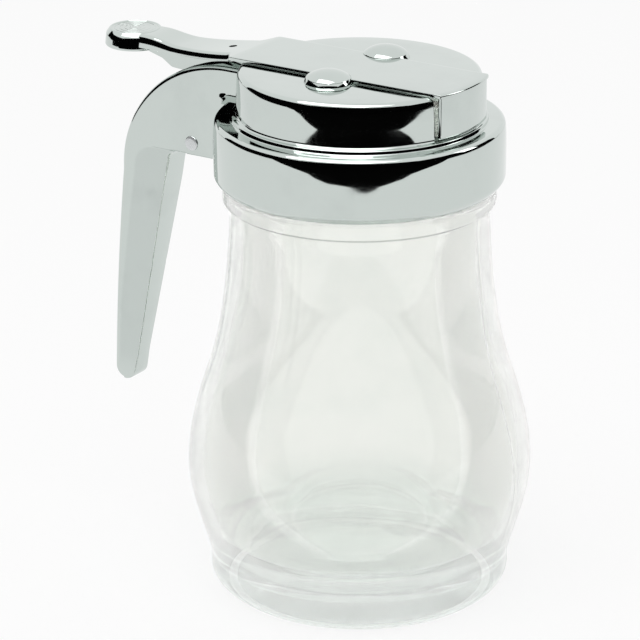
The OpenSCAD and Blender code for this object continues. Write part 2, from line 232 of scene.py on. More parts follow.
dark_finish = Finish("dark_room", Base_Color=(0.002, 0.002, 0.002, 1), Roughness=1.0, Specular_IOR_Level=0.0)
glow_over(dark_finish, dark_finish.node("ShaderNodeLightPath", out=12).least(1.0))
SHEET_END, ROOM_END, ROOM_SIDE, ON_TABLE = -0.355, -1.5, 1.6, 0.001
dark_sheets = [
    stage_sheet("dark_front", [
        beside(-ROOM_SIDE, ROOM_END, ON_TABLE), beside(ROOM_SIDE, ROOM_END, ON_TABLE),
        beside(ROOM_SIDE, SHEET_END, ON_TABLE), beside(-ROOM_SIDE, SHEET_END, ON_TABLE),
    ]),
    stage_sheet("dark_wall", [
        beside(-ROOM_SIDE, ROOM_END), beside(ROOM_SIDE, ROOM_END),
        beside(ROOM_SIDE, ROOM_END, 1.15), beside(-ROOM_SIDE, ROOM_END, 1.15),
    ]),
]
for name, near, far in (("left", -0.95, -ROOM_SIDE), ("right", 0.95, ROOM_SIDE)):
    dark_sheets.append(stage_sheet("dark_floor_" + name, [
        beside(near, SHEET_END, ON_TABLE), beside(far, SHEET_END, ON_TABLE),
        beside(far, 1.2, ON_TABLE), beside(near, 1.2, ON_TABLE),
    ]))
    dark_sheets.append(stage_sheet("dark_side_" + name, [
        beside(far, ROOM_END), beside(far, 1.2), beside(far, 1.2, 1.0), beside(far, ROOM_END, 1.0),
    ]))
for sheet in dark_sheets:
    sheet.data.materials.append(dark_finish.material)
    sheet.visible_camera = sheet.visible_diffuse = sheet.visible_transmission = False
    sheet.visible_shadow = False

room = bpy.data.worlds.new("room")
room.use_nodes = True
world_scene.world = room
room_nodes = Nodes(room.node_tree)
background = room.node_tree.nodes["Background"]
strength = shows_white(room_nodes) * 0.45 + 0.55
room.node_tree.links.new(strength.socket, background.inputs["Strength"])
background.inputs["Color"].default_value = (1, 1, 1, 1)


# Glass jar: soda glass blown into a two-part mould, with a thick base that is pushed up below,
# a bell, a narrow throat, a bead under the lid, and one run of screw thread on the neck.

def rounded(corners):
    """A line through corners [r, z, radius] with each corner rounded."""
    line = []
    for i, corner in enumerate(corners):
        here = Vector(corner[:2])
        radius = corner[2] if len(corner) > 2 else 0
        if not radius or i in (0, len(corners) - 1):
            line.append(here)
            continue
        before = (Vector(corners[i - 1][:2]) - here).normalized()
        after = (Vector(corners[i + 1][:2]) - here).normalized()
        half = before.angle(after) / 2
        reach = radius / math.tan(half)
        centre = here + (before + after).normalized() * (radius / math.sin(half))
        start, end = here + before * reach - centre, here + after * reach - centre
        turn = start.angle_signed(end)
        steps = max(2, int(abs(math.degrees(turn)) / 9))
        for k in range(steps + 1):
            line.append(centre + Matrix.Rotation(-turn * k / steps, 2) @ start)
    return [(p.x, p.y) for p in line]


def grid_faces(rows, columns, closed_rows=False, closed_columns=False):
    """The quads of a grid of points that is stored row by row."""
    faces = []
    for i in range(rows if closed_rows else rows - 1):
        for j in range(columns if closed_columns else columns - 1):
            a, b = i * columns, (i + 1) % rows * columns
            k = (j + 1) % columns
            faces.append((a + j, a + k, b + k, b + j))
    return faces


def make_piece(name, points, faces, body, sharp=40):
    """A smooth mesh from points in millimetres, facing outwards, with sharp edges over an angle."""
    mesh = bpy.data.meshes.new(name)
    mesh.from_pydata([(x / 1000, y / 1000, z / 1000) for x, y, z in points], [], faces)
    work = bmesh.new()
    work.from_mesh(mesh)
    bmesh.ops.remove_doubles(work, verts=work.verts, dist=1e-6)
    bmesh.ops.dissolve_degenerate(work, dist=1e-6, edges=work.edges)
    bmesh.ops.recalc_face_normals(work, faces=work.faces)
    work.to_mesh(mesh)
    work.free()
    mesh.shade_smooth()
    mesh.set_sharp_from_angle(angle=math.radians(sharp))
    piece = bpy.data.objects.new(name, mesh)
    world_scene.collection.objects.link(piece)
    if body:
        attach(piece, body)
    return piece


def ease(t):
    """A smooth step from 0 to 1."""
    t = min(1, max(0, t))
    return t * t * (3 - 2 * t)


BELL = [(8, 34.6, 0.25), (30, 39.7, 0), (52, 35.1, -0.34), (68, 31.35, -0.14), (90, 29.5, -0.04)]


def bell_radius(z):
    """Outer radius of the jar between the foot and the throat."""
    if z <= BELL[0][0]:
        return BELL[0][1]
    for (z0, r0, s0), (z1, r1, s1) in zip(BELL, BELL[1:]):
        if z <= z1:
            w, t = z1 - z0, (z - z0) / (z1 - z0)
            return (
                (2 * t**3 - 3 * t * t + 1) * r0 + (t**3 - 2 * t * t + t) * w * s0
                + (3 * t * t - 2 * t**3) * r1 + (t**3 - t * t) * w * s1
            )
    return BELL[-1][1]


def close(line, gap):
    """The same line with points no further apart than a gap."""
    full = [line[0]]
    for a, b in zip(line, line[1:]):
        steps = max(1, math.ceil(math.dist(a, b) / gap))
        for k in range(1, steps + 1):
            full.append((a[0] + (b[0] - a[0]) * k / steps, a[1] + (b[1] - a[1]) * k / steps))
    return full


THREAD_LEAD, NECK_R, BORE_R, WALL, FLOOR_R = 5.0, 28.4, 25.3, 3.2, 17
foot_line = rounded([(0, 1.9), (13, 1.5, 40), (28.5, 0, 5), (31.2, 0, 1.5), (34.6, 2.6, 4), (34.6, 8)])
bell_line = [(bell_radius(z), z) for z in [8.6 + 1.2 * k for k in range(68)]]
neck_line = rounded([
    (29.5, 90.2), (29.5, 92.6, 0.8), (31.05, 92.9, 0.9), (31.05, 96.6, 0.9), (NECK_R, 96.6, 0.5),
    (NECK_R, 108.5, 1.2), (BORE_R, 108.5, 1), (BORE_R, 106),
])
inside_line = [(BORE_R, 103.5), (BORE_R, 99), (25.35, 96), (25.55, 93.5), (26.0, 90.5)]
inside_line += [(bell_radius(z) - WALL, z) for z in [88.5 - 1.6 * k for k in range(43)]]
corner_line = []
for k in range(15):
    a = math.radians(90 - 6 * k)
    z = 7 + 10.5 * (1 - math.cos(a))
    corner_line.append((FLOOR_R + (bell_radius(z) - WALL - FLOOR_R) * math.sin(a), z))
jar_line = close(foot_line, 0.4) + bell_line + close(neck_line, 0.3)
outside_count = len(jar_line) - 12
jar_line += close(inside_line + corner_line + [(FLOOR_R, 7.0), (11, 7.1), (5, 7.3), (0, 7.4)], 1.8)

seam_angles = [math.radians(a) for a in (6, 186)]
jar_angles = sorted(
    [math.radians(2 * k) for k in range(180)]
    + [s + math.radians(d) for s in seam_angles for d in (-0.75, -0.5, -0.25, 0.25, 0.5, 0.75)]
)
jar_points = []
for angle in jar_angles:
    seam_at = min(abs((angle - s + math.pi) % (2 * math.pi) - math.pi) for s in seam_angles)
    for i, (r, z) in enumerate(jar_line):
        way = Vector((math.cos(angle), math.sin(angle), 0))
        if i < outside_count:
            if z < 5 and r > 30:
                for ring_z in (1.5, 2.6, 3.9):
                    r += 0.035 * math.exp(-(((z - ring_z) / 0.3) ** 2))
            if 2 < z < 92:
                r += 0.06 * math.exp(-((seam_at * r / 0.3) ** 2)) * ease((z - 2) / 3)
                r += 0.10 * noise.noise(Vector((way.x * 1.6, way.y * 1.6, z / 26)))
            if 97 < z < 108 and abs(r - NECK_R) < 0.2:
                for lap in range(-1, 3):
                    along = angle / (2 * math.pi) + lap
                    off = z - (100.85 + THREAD_LEAD * along)
                    if 0 <= along <= 1.15 and abs(off) < 1.15:
                        fade = ease(along / 0.06) * ease((1.15 - along) / 0.06)
                        r += 1.1 * fade * ease((1.15 - abs(off)) / 0.75)
        elif z > 8:
            uneven = noise.noise(Vector((way.x * 1.3, way.y * 1.3, z / 24 + 5)))
            r += 0.34 * uneven * ease((96 - z) / 12)
        else:
            z += 0.75 * noise.noise(Vector((way.x * r / 11, way.y * r / 11, 2.5))) * ease((34 - r) / 8)
        jar_points.append((r * way.x, r * way.y, z))
glass_jar = make_piece(
    "glass_jar_blown", jar_points, grid_faces(len(jar_angles), len(jar_line), closed_rows=True), "jar", 180
)

glass = Finish("clear_glass", IOR=1.5, Transmission_Weight=1.0, Roughness=0.0, Alpha=0.60)
edge_on = glass.node("ShaderNodeLayerWeight", inputs={"Blend": 0.32}, out=1)
height = glass.node("ShaderNodeSeparateXYZ", inputs={"Vector": glass.place}, out=2)
smears = glass.noise(38, 4.0, 0.6)
base_haze = ((0.017 - height) * 90).most(0.0).least(1.0)
tinted = (edge_on ** 1.6 * 0.06 + (smears - 0.5).most(0.0) * 1.2 + base_haze * 0.95).least(1.0)
glass_colour = glass.mix(tinted, (0.915, 0.93, 0.89, 1), (0.63, 0.72, 0.665, 1))
ripples = glass.noise(55, 1.0)
glass.feed(
    Base_Color=glass_colour,
    Roughness=(smears - 0.45).most(0.0) * 0.12 + base_haze * 0.09,
    Normal=glass.bump(ripples, 0.12),
)
glass_jar.data.materials.append(glass.material)
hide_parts("glass_jar")


# Gasket: a ring of off-white rubber between the jar's rim and the ledge in the lid.
# It is punched from sheet and held by the pinch alone.

def turned(line, steps, x=0, y=0, ring=False):
    """Points and faces of a line of [r, z] turned about an upright axis. A ring's line is closed."""
    points = []
    for k in range(steps):
        a = 2 * math.pi * k / steps
        points += [(x + r * math.cos(a), y + r * math.sin(a), z) for r, z in line]
    return points, grid_faces(steps, len(line), closed_rows=True, closed_columns=ring)


seal_line = rounded([
    (27, 108.5), (29.9, 108.5, 0.25), (29.9, 110, 0.25), (25.6, 110, 0.25), (25.6, 108.5, 0.25), (27, 108.5)
])[:-1]
seal = make_piece("seal_ring", *turned(seal_line, 144, ring=True), "seal")
rubber = Finish("seal_rubber", Base_Color=(0.86, 0.86, 0.82, 1), Specular_IOR_Level=0.35)
grain = rubber.noise(900, 3.0)
stain = rubber.noise(60, 3.0)
rubber.feed(
    Base_Color=rubber.mix(stain, (0.88, 0.88, 0.84, 1), (0.74, 0.73, 0.67, 1)),
    Roughness=grain * 0.25 + 0.5,
    Normal=rubber.bump(grain, 0.03),
)
seal.data.materials.append(rubber.material)
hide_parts("jar_gasket")


# Lid casting: collar, drum and handle are one zinc casting, polished and chromed.
# The collar screws on the jar, the drum has the pour mouth cut into its front, and the web behind
# it carries the grip.

def solid_piece(piece):
    """Puts the result of the piece's modifiers into its mesh."""
    seen_at = bpy.context.evaluated_depsgraph_get()
    seen_at.update()
    done = bpy.data.meshes.new_from_object(piece.evaluated_get(seen_at))
    old = piece.data
    piece.modifiers.clear()
    piece.data = done
    bpy.data.meshes.remove(old)
    return piece


def cut_away(piece, points, faces):
    """Cuts a closed shape out of a piece."""
    tool = make_piece("cutter", points, faces, None)
    step = piece.modifiers.new("cut", "BOOLEAN")
    step.operation, step.solver, step.object = "DIFFERENCE", "EXACT", tool
    solid_piece(piece)
    bpy.data.objects.remove(tool)


def prism(outline, low, high):
    """A closed shape with an outline in X and Z, from one Y to another."""
    n = len(outline)
    points = [(x, low, z) for x, z in outline] + [(x, high, z) for x, z in outline]
    sides = [(i, (i + 1) % n, n + (i + 1) % n, n + i) for i in range(n)]
    return points, sides + [tuple(range(n))[::-1], tuple(range(n, 2 * n))]


COLLAR_R, SHOULDER_Z = 33.0, 112.0
lid_line = close(rounded([
    (0, 121.4), (25.6, 121.4, 1.2), (25.6, 110), (30.2, 110, 0.4), (30.2, 97.4, 0), (30.6, 97.0, 0.2),
    (31.4, 97.0, 1.0), (33, 98.9, 2.2), (33, 107.4, 60), (32.9, 109.9, 15), (32.6, 112, 1.2),
    (29.0, 112, 0.3), (28.8, 112.9, 0.3), (27.74, 113.1, 0.7), (27.68, 118.5, 60), (27.52, 121.2, 8),
    (27.2, 123, 1.2), (0, 123),
]), 4.0)
lid = make_piece("lid_casting", *turned(lid_line, 288), None, 30)
mouth_box = [(18.4, 113.3), (40, 113.3), (40, 130), (18.4, 130)]
MOUTH_HALF = 9.9
cut_away(lid, *prism(mouth_box, -MOUTH_HALF, MOUTH_HALF))
soften = lid.modifiers.new("soften", "BEVEL")
soften.width, soften.segments = 0.00012, 2
soften.limit_method, soften.angle_limit = "ANGLE", math.radians(50)
solid_piece(lid)

WEB_HALF, TIP_HALF, WEB_LOW, ARCH_TOP = 4.5, 2.7, 96.4, 119.3
ARCH = (-33.0, 90.0, 30.6, 29.3)
BEHIND_COLLAR, BEHIND_DRUM = -31.4, -26.6
ARCH_END = 180 - math.degrees(math.asin((WEB_LOW - ARCH[1]) / ARCH[3]))
TIP = Vector((-65.5, 38.9))
TIP_R = 2.9
inner_top = Vector((-50.1, WEB_LOW))
inner_low = TIP + TIP_R * Vector((math.cos(math.radians(345)), math.sin(math.radians(345))))


def on_arch(angle):
    """A point of the handle's round back."""
    a = math.radians(angle)
    return Vector((ARCH[0] + ARCH[2] * math.cos(a), ARCH[1] + ARCH[3] * math.sin(a)))


def arch_edge(u):
    """Outer edge of the web: along the top from inside the drum, then round the arch."""
    if u < 0.14:
        x = BEHIND_DRUM - (u / 0.14) * 6.4
        return Vector((x, ARCH_TOP))
    return on_arch(90 + (ARCH_END - 90) * (u - 0.14) / 0.86)


inner_way = (inner_low - inner_top).normalized()
hollow_r = 2.5
HOLLOW_TURN = 90 - math.degrees(math.atan2(-inner_way.x, -inner_way.y))
hollow = Vector((
    inner_top.x + hollow_r * math.tan(math.radians(HOLLOW_TURN / 2)), WEB_LOW - hollow_r,
))


def web_edge(u):
    """Lower edge of the web and the hollow corner in which it meets the grip."""
    if u < 0.72:
        return Vector((BEHIND_COLLAR + (hollow.x - BEHIND_COLLAR) * u / 0.72, WEB_LOW))
    a = math.radians(90 + HOLLOW_TURN * (u - 0.72) / 0.28)
    return hollow + hollow_r * Vector((math.cos(a), math.sin(a)))


rows = [(web_edge(k / 90), arch_edge(k / 90)) for k in range(91)]
grip_top = rows[-1][0]
for k in range(1, 61):
    inner = grip_top + (inner_low - grip_top) * (k / 60)
    back = on_arch(ARCH_END)
    fall = back + (TIP + Vector((-TIP_R, 0)) - back) * (k / 60)
    z = fall.y
    if z > ARCH[1]:
        edge = Vector((ARCH[0] - ARCH[2] * math.sqrt(1 - ((z - ARCH[1]) / ARCH[3]) ** 2), z))
    else:
        t = (ARCH[1] - z) / (ARCH[1] - TIP.y)
        edge = Vector((-63.6 - 4.8 * t - 0.48 * 4 * t * (1 - t), z))
    rows.append((inner, edge))
for k in range(1, 15):
    a, b = math.radians(345 - 82.5 * k / 14), math.radians(180 + 82.5 * k / 14)
    rows.append((
        TIP + TIP_R * Vector((math.cos(a), math.sin(a))),
        TIP + TIP_R * Vector((math.cos(b), math.sin(b))),
    ))


def to_edge(point, line):
    """Distance of a point from a line of points."""
    best = 1e9
    for a, b in zip(line, line[1:]):
        way = b - a
        length = way.length_squared
        t = 0 if length < 1e-9 else min(1, max(0, (point - a).dot(way) / length))
        best = min(best, (point - a - way * t).length)
    return best


outer_edge = [row[1] for row in rows]
inner_edge = [row[0] for row in rows]
outline_edge = inner_edge[:1] + outer_edge + inner_edge[::-1]
EDGE_ROUND, RECESS, RECESS_CORNER = 1.0, 0.45, 4.5


def round_off(distance, radius):
    """How far a face drops at a distance from a rounded edge."""
    if distance >= radius:
        return 0
    return radius - math.sqrt(max(0, radius**2 - (radius - distance) ** 2))


def recess_at(point):
    """Share of the recess's depth at a point of the grip's side."""
    border = max(1.4, 3.3 - 1.9 * (88 - point.y) / 34)
    from_back = to_edge(point, outer_edge[70:]) - border
    from_top = 96.7 - point.y
    if from_back < RECESS_CORNER and from_top < RECESS_CORNER:
        into = RECESS_CORNER - math.hypot(RECESS_CORNER - from_back, RECESS_CORNER - from_top)
    else:
        into = min(from_back, from_top)
    from_tip = (point.y - 41) / 10
    return ease((min(into, from_tip) + 0.3) / 0.6)


def mark_at(point):
    """Shallow round marks that the ejector pins leave in the recess."""
    depth = 0
    for x, z in ((-56.2, 87.5), (-58.6, 67.0)):
        away = (point - Vector((x, z))).length
        depth += 0.12 * ease((2.3 - away) / 0.35)
    return depth


def web_half(point):
    """Half the thickness of the handle at a point of its side."""
    x, z = point
    if z > WEB_LOW:
        half = WEB_HALF
    else:
        half = WEB_HALF + (TIP_HALF - WEB_HALF) * (WEB_LOW - z) / (WEB_LOW - 35)
    if x < -45:
        cut = recess_at(point)
        half -= RECESS * cut + mark_at(point) * cut
    r = math.hypot(x, half)
    to_collar = max(0, r - COLLAR_R)
    if z > SHOULDER_Z:
        to_collar = math.hypot(to_collar, 4 * (z - SHOULDER_Z))
    return half + round_off(to_collar, 3.4 * ease((z - 103) / 6.5))


from_ends = [0, 0.05, 0.2, 0.45, 0.75, 1.05]
NARROW, columns = 2.4, 40
handle_sides = []
for inner, outer in rows:
    first = not handle_sides
    span = (outer - inner).length
    ends = from_ends if span >= NARROW else [d * span / NARROW for d in from_ends]
    low, high = ends[-1], span - ends[-1]
    middle = [low + (high - low) * k / (columns + 1) for k in range(1, columns + 1)]
    places = ends + middle + [span - d for d in reversed(ends)]
    line = []
    for s in places:
        point = inner + (outer - inner) * (s / span if span > 1e-6 else 0)
        limit = BEHIND_COLLAR if point.y < 110.4 else BEHIND_DRUM
        point.x = limit if first else min(point.x, limit)
        finger_side = ease((95 - point.y) / 8) if s < span / 2 else 0
        drop = round_off(to_edge(point, outline_edge[1:]), EDGE_ROUND - 0.6 * finger_side)
        line.append((point, max(0.2, web_half(point) - drop)))
    handle_sides.append(line)
width = len(handle_sides[0])
handle_points = [(p.x, -h, p.y) for line in handle_sides for p, h in line]
handle_points += [(p.x, h, p.y) for line in handle_sides for p, h in line]
handle_faces = grid_faces(len(rows), width)
count = len(rows) * width
handle_faces += [tuple(count + k for k in face[::-1]) for face in handle_faces]
rim = [i * width for i in range(len(rows))]
rim += [(len(rows) - 1) * width + j for j in range(1, width)]
rim += [i * width + width - 1 for i in range(len(rows) - 2, -1, -1)]
rim += list(range(width - 2, 0, -1))
for a, b in zip(rim, rim[1:] + rim[:1]):
    handle_faces.append((a, b, count + b, count + a))
handle = make_piece("handle", handle_points, handle_faces, None, 50)
slot_line = [(-37.8, 121), (-55.4, 121), (-55.4, 112.4), (-51.7, 99.2), (-47.7, 99.2), (-47.7, 95),
             (-38.6, 95), (-38.6, 99.5)]
cut_away(handle, *prism(slot_line, -2.28, 2.28))
handle.data.set_sharp_from_angle(angle=math.radians(50))


def join(pieces):
    """One mesh out of several, in the first piece's place."""
    whole = bmesh.new()
    for piece in pieces:
        whole.from_mesh(piece.data)
    whole.to_mesh(pieces[0].data)
    whole.free()
    for piece in pieces[1:]:
        bpy.data.objects.remove(piece)
    return pieces[0]


class Recipe(Nodes):
    """A Geometry Nodes tree with named sizes in millimetres, which ends in one mesh with a material."""

    def __init__(self, name, **sizes):
        super().__init__(bpy.data.node_groups.new(name, "GeometryNodeTree"))
        self.keys = {}
        panel = self.tree.interface
        panel.new_socket("Geometry", in_out="INPUT", socket_type="NodeSocketGeometry")
        for key, value in sizes.items():
            kind = "NodeSocketInt" if isinstance(value, int) else "NodeSocketFloat"
            self.keys[key] = panel.new_socket(key, in_out="INPUT", socket_type=kind).identifier
        self.keys["Material"] = panel.new_socket(
            "Material", in_out="INPUT", socket_type="NodeSocketMaterial"
        ).identifier
        panel.new_socket("Geometry", in_out="OUTPUT", socket_type="NodeSocketGeometry")
        self.sizes = sizes
        self.entry = self.tree.nodes.new("NodeGroupInput")
        self.result = self.tree.nodes.new("NodeGroupOutput")

    def given(self, key):
        """The tree's input of that name, a size in metres."""
        found = Signal(self.tree, self.entry.outputs[key])
        return found * 0.001 if isinstance(self.sizes.get(key), float) else found

    def end(self, shape):
        """Closes the tree: a smooth mesh of its own, with the material."""
        smooth = self.node("GeometryNodeSetShadeSmooth", inputs={"Geometry": shape})
        real = self.node("GeometryNodeRealizeInstances", inputs={"Geometry": smooth})
        done = self.node(
            "GeometryNodeSetMaterial", inputs={"Geometry": real, "Material": self.given("Material")}
        )
        self.tree.links.new(done.socket, self.result.inputs[0])

    def make(self, name, line, material):
        """A piece from the recipe, on an open line of points in millimetres."""
        mesh = bpy.data.meshes.new(name)
        steps = [(i, i + 1) for i in range(len(line) - 1)]
        mesh.from_pydata([(x / 1000, y / 1000, z / 1000) for x, y, z in line], steps, [])
        piece = bpy.data.objects.new(name, mesh)
        world_scene.collection.objects.link(piece)
        step = piece.modifiers.new("recipe", "NODES")
        step.node_group = self.tree
        for key, value in self.sizes.items():
            step[self.keys[key]] = value
        step[self.keys["Material"]] = material
        return solid_piece(piece)


chrome = Finish("chrome", Metallic=1.0)
waves = chrome.noise(85, 1.5)
pits = chrome.noise(1500, 2.0)
hand = chrome.noise(45, 4.0, 0.65)
dull = (hand - 0.5).most(0.0)
sunk = chrome.node("ShaderNodeAttribute", {"attribute_name": "sunk"}, out=2)
unpolished = (dull * 2.2 + sunk * 0.5).least(1.0)
chrome.feed(
    Base_Color=chrome.mix(unpolished, (0.585, 0.635, 0.61, 1), (0.52, 0.565, 0.545, 1)),
    Roughness=dull * 0.35 + pits * 0.03 + sunk * 0.16 + 0.02,
    Normal=chrome.bump(waves, 0.10),
)

ridge = Recipe("ridge_on_a_path", Half_Width=1.15, Fade=8.0, Sides=16)
ridge_line = ridge.node("GeometryNodeMeshToCurve", inputs={"Mesh": ridge.given("Geometry")})
along = ridge.node("GeometryNodeSplineParameter", out=0)
both_ends = along.least(1.0 - along) * (ridge.given("Fade") * 1000)
swell = both_ends.least(1.0).most(0.05)
ridge_ring = ridge.node(
    "GeometryNodeCurvePrimitiveCircle",
    inputs={"Resolution": ridge.given("Sides"), "Radius": ridge.given("Half_Width")},
)
ridge.end(ridge.node(
    "GeometryNodeCurveToMesh",
    inputs={"Curve": ridge_line, "Profile Curve": ridge_ring, "Scale": swell, "Fill Caps": True},
))
helix = []
for k in range(181):
    a = math.radians(2.5 * k)
    helix.append((30.3 * math.cos(a), 30.3 * math.sin(a), 98.35 + THREAD_LEAD * a / (2 * math.pi)))
lid_thread = ridge.make("lid_thread", helix, chrome.material)
bosses = []
RIVET_X, RIVET_Y = -0.6, 11.75
for side in (-1, 1):
    boss_points = []
    for r, z in ((5.5, 122.8), (5.5, 123.05), (4.9, 123.93)):
        for k in range(64):
            a = 2 * math.pi * k / 64
            boss_points.append((RIVET_X + r * math.cos(a), side * max(10.2, RIVET_Y + r * math.sin(a)), z))
    boss_faces = grid_faces(3, 64, closed_columns=True)
    bosses.append(make_piece(
        "boss", boss_points, boss_faces + [tuple(range(64))[::-1], tuple(range(128, 192))], None, 50
    ))
lid.data.materials.append(chrome.material)
lid = join([lid, handle, lid_thread] + bosses)
hollows = lid.data.attributes.new("sunk", "FLOAT", "POINT")
for vertex, value in zip(lid.data.vertices, hollows.data):
    x, y, z = (c * 1000 for c in vertex.co)
    if x < -45 and z < WEB_LOW and abs(vertex.normal.y) > 0.6:
        value.value = recess_at(Vector((x, z)))
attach(lid, "lid")
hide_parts("lid_body")


# Cross pin: a steel pin pushed through the web, with a low domed head on the near side.
# The return spring sits on it.

def turned_across(line, steps, x, z):
    """A closed shape turned about a line along -Y through a point of the web."""
    points = []
    for k in range(steps):
        a = 2 * math.pi * k / steps
        points += [(x + r * math.cos(a), -y, z + r * math.sin(a)) for r, y in line]
    return points, grid_faces(steps, len(line), closed_rows=True)


pin_line = rounded([
    (0, -4.5), (1.25, -4.5, 0.1), (1.45, -4.3, 0.1), (1.45, 4.5), (1.75, 4.5, 0.05), (1.7, 4.76, 0.15),
    (1.1, 4.83, 0.6), (0, 4.85),
])
pin_at = Vector((-43.3, 99.5))
pin = make_piece("cross_pin", *turned_across(pin_line, 64, *pin_at), "lid")
steel = Finish("spring_steel", Metallic=1.0)
drawn = steel.noise(700, 2.0)
steel.feed(
    Base_Color=steel.mix(drawn, (0.60, 0.62, 0.63, 1), (0.72, 0.74, 0.74, 1)),
    Roughness=drawn * 0.15 + 0.2,
    Normal=steel.bump(drawn, 0.01),
)
pin.data.materials.append(steel.material)
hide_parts("spring_pin")


# Return spring: one steel wire wound round the pin. Its long leg stands in the notch of the slide's
# lug, its short leg rests on the floor of the slot.

wire = Recipe("wire_on_a_path", Half_Width=0.35, Sides=14)
wire_line = wire.node("GeometryNodeMeshToCurve", inputs={"Mesh": wire.given("Geometry")})
wire_ring = wire.node(
    "GeometryNodeCurvePrimitiveCircle",
    inputs={"Resolution": wire.given("Sides"), "Radius": wire.given("Half_Width")},
)
wire.end(wire.node(
    "GeometryNodeCurveToMesh", inputs={"Curve": wire_line, "Profile Curve": wire_ring, "Fill Caps": True}
))
long_tip = Vector((-43.7, 116.9))
COIL_R, COIL_PITCH = 2.0, 1.2
reach = long_tip - pin_at
coil_start = math.degrees(math.atan2(reach.y, reach.x) + math.acos(COIL_R / reach.length))
coil_turn = 105 + 3 * 360 - coil_start
coil_half = COIL_PITCH * coil_turn / 360 / 2


def on_coil(share):
    """A point of the coil, by its share of the wound length."""
    a = math.radians(coil_start + coil_turn * share)
    at = pin_at + COIL_R * Vector((math.cos(a), math.sin(a)))
    return Vector((at.x, coil_half * (2 * share - 1), at.y))


wire_path = []
for k in range(24):
    at = long_tip + (Vector(on_coil(0).xz) - long_tip) * k / 24
    wire_path.append((at.x, -coil_half, at.y))
wire_path += [tuple(on_coil(k / 180)) for k in range(181)]
coil_end = Vector(wire_path[-1])
last_way = (coil_end - Vector(wire_path[-2])).xz.normalized()
for k in range(1, 11):
    at = coil_end.xz + last_way * 0.7 * k
    wire_path.append((at.x, coil_half, at.y))
spring = wire.make("torsion_spring", wire_path, steel.material)
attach(spring, "lid")
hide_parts("return_spring")


# Thumb slide: one chromed casting. A thin strip runs over the drum under the rivets and bends down
# at the front into the lip that shuts the mouth. Behind the drum it goes on as the arm with its rib,
# lug and round pad.

STRIP_TOP, STRIP_LOW, STRIP_BACK, STRIP_HALF = 123.9, 123.05, 28.2, 10.1
LIP_OUT, LIP_IN, LIP_LOW, LIP_HALF = 29.3, 28.2, 113.6, 9.6
PAD_X, PAD_R, PAD_TOP = 62.1, 7.1, 123.5
ARM_END, ARM_DIP_X, ARM_NECK_X, ARM_DIP = 56.0, 46.5, 53.0, 1.65


def arm_top(x):
    """Height of the arm's top, which dips between the drum and the pad."""
    if x < STRIP_BACK:
        return STRIP_TOP
    if x < ARM_DIP_X:
        return STRIP_TOP - ARM_DIP * math.sin(math.pi / 2 * (x - STRIP_BACK) / (ARM_DIP_X - STRIP_BACK))
    rise = PAD_TOP - 0.15 - STRIP_TOP + ARM_DIP
    return STRIP_TOP - ARM_DIP + rise * ease((x - ARM_DIP_X) / (ARM_END - ARM_DIP_X))


def arm_half(x):
    """Half the arm's width, which narrows from the strip to the pad."""
    if x < STRIP_BACK + 3:
        return STRIP_HALF - 3.1 * ease((x - STRIP_BACK) / 3)
    if x < ARM_NECK_X:
        return 7 - 1.9 * ease((x - STRIP_BACK - 3) / (ARM_NECK_X - STRIP_BACK - 3))
    return 5.1


slide_rows = []
for k in range(61):
    x = PAD_X - (PAD_X - STRIP_BACK) * k / 60
    if x > STRIP_BACK + 3.4:
        thick = 1.8 + 1.3 * ease((x - ARM_DIP_X) / (ARM_END - ARM_DIP_X))
    else:
        thick = 0.85 + 0.95 * ease((x - STRIP_BACK - 0.4) / 2)
    slide_rows.append(((-x, arm_top(x)), (-x, arm_top(x) - thick), arm_half(x)))
for k in range(1, 41):
    x = -STRIP_BACK + (27.6 + STRIP_BACK) * k / 40
    slide_rows.append(((x, STRIP_TOP), (x, STRIP_LOW), STRIP_HALF))
for k in range(1, 9):
    a = math.radians(90 * (1 - k / 8))
    outer = (LIP_OUT - 0.45 + 0.45 * math.cos(a), STRIP_TOP - 0.45 + 0.45 * math.sin(a))
    slide_rows.append((outer, (LIP_IN - 0.2 + 0.2 * math.cos(a), STRIP_LOW), STRIP_HALF))
for x, z, half in ((0, 123.12, STRIP_HALF), (0.1, 123.06, 9.8), (0.3, 123.04, LIP_HALF)):
    slide_rows.append(((LIP_OUT - x, z), (LIP_IN, STRIP_LOW), half))
LIP_FACE, LIP_ROUND, LIP_TOP = LIP_OUT - 0.3, 0.4, 122.85
for k in range(1, 13):
    z = LIP_TOP - (LIP_TOP - LIP_LOW - LIP_ROUND) * k / 12
    slide_rows.append(((LIP_FACE, z), (LIP_IN, z), LIP_HALF))
for k in range(1, 6):
    a = math.radians(90 * k / 5)
    half = (LIP_FACE - LIP_IN) / 2
    middle = (LIP_FACE + LIP_IN) / 2
    z = LIP_LOW + LIP_ROUND - LIP_ROUND * math.sin(a)
    outer, inner = (middle + half * math.cos(a), z), (middle - half * math.cos(a), z)
    slide_rows.append((outer, inner, LIP_HALF - 0.3 * (k / 5) ** 2))
across = [-1 + 2 * k / 32 for k in range(33)]
edge_turns = [math.radians(turn) for turn in (22, 45, 67, 90)]
slide_points = []
for under in (False, True):
    for top, low, half_width in slide_rows:
        top, low = Vector(top), Vector(low)
        middle = (top + low) / 2
        thick = (top - low).length
        edge = 0.14
        if top.x < -STRIP_BACK - 1:
            edge = 0.25 if under else min(0.95, thick / 2)
            half_width -= 0 if under else 0.12 * thick
        corner = [
            (half_width - edge * (1 - math.sin(t)), 1 - edge * (1 - math.cos(t)) / (thick / 2 + 1e-6))
            for t in edge_turns
        ]
        stops = [(-y, share) for y, share in reversed(corner)]
        stops += [(v * (half_width - edge), 1) for v in across] + corner
        for y, share in stops:
            rho, z = middle + ((low if under else top) - middle) * max(0.02, share)
            bend = ease((rho - 12) / 12)
            x = rho - (rho - math.sqrt(max(0, rho * rho - y * y))) * bend if rho > 12 else rho
            slide_points.append((x, y, z))
